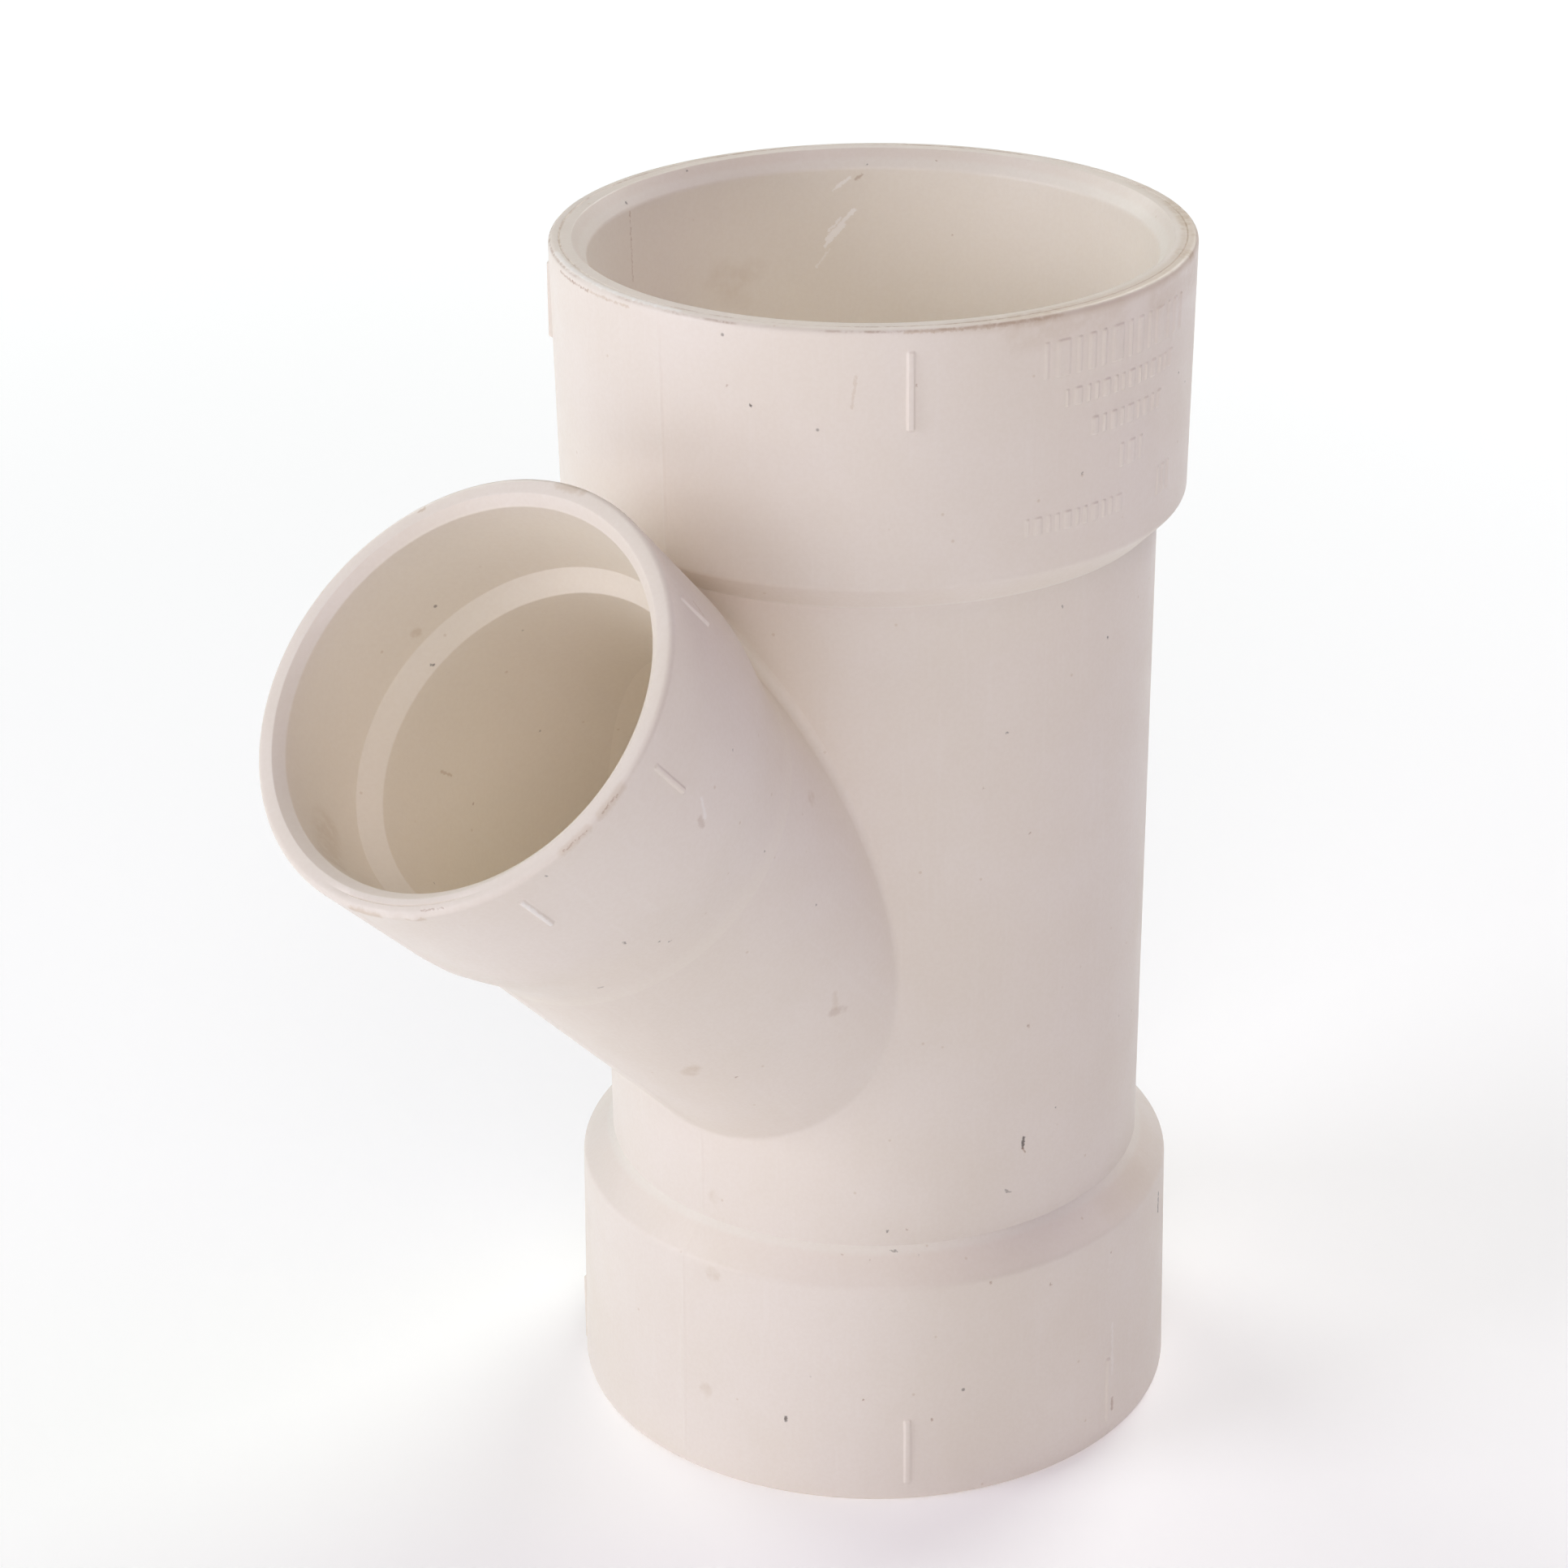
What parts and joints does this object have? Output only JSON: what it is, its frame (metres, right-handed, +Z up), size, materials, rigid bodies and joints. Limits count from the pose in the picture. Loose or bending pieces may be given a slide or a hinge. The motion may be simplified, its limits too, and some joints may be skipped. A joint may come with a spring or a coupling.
{
  "type": "tee fitting",
  "caption": "Moulded plastic drain fitting: a straight run with a socket at each end and a smaller socketed branch leaving its side at 45 degrees.",
  "frame": {"origin": "centre of the footprint (the bounding box seen from above) on the plane of the lower rim; the run's own axis stands 34.8 mm from it towards +X", "axes": "+Z up the straight run from the lower rim to the upper rim; the branch leans up and out towards -X in the XZ plane; +Y completes a right-handed frame"},
  "size_m": [0.1718, 0.103, 0.2042],
  "materials": {
    "pvc_barrel": "satin moulded cream-white PVC",
    "pvc_upper_hub": "satin moulded cream-white PVC",
    "pvc_lower_hub": "satin moulded cream-white PVC",
    "pvc_branch_arm": "satin moulded cream-white PVC",
    "pvc_branch_hub": "satin moulded cream-white PVC"
  },
  "bodies": {
    "root": {"run_barrel": "pvc_barrel", "upper_run_hub": "pvc_upper_hub", "lower_run_hub": "pvc_lower_hub", "branch_arm": "pvc_branch_arm", "branch_hub": "pvc_branch_hub"}
  },
  "joints": []
}
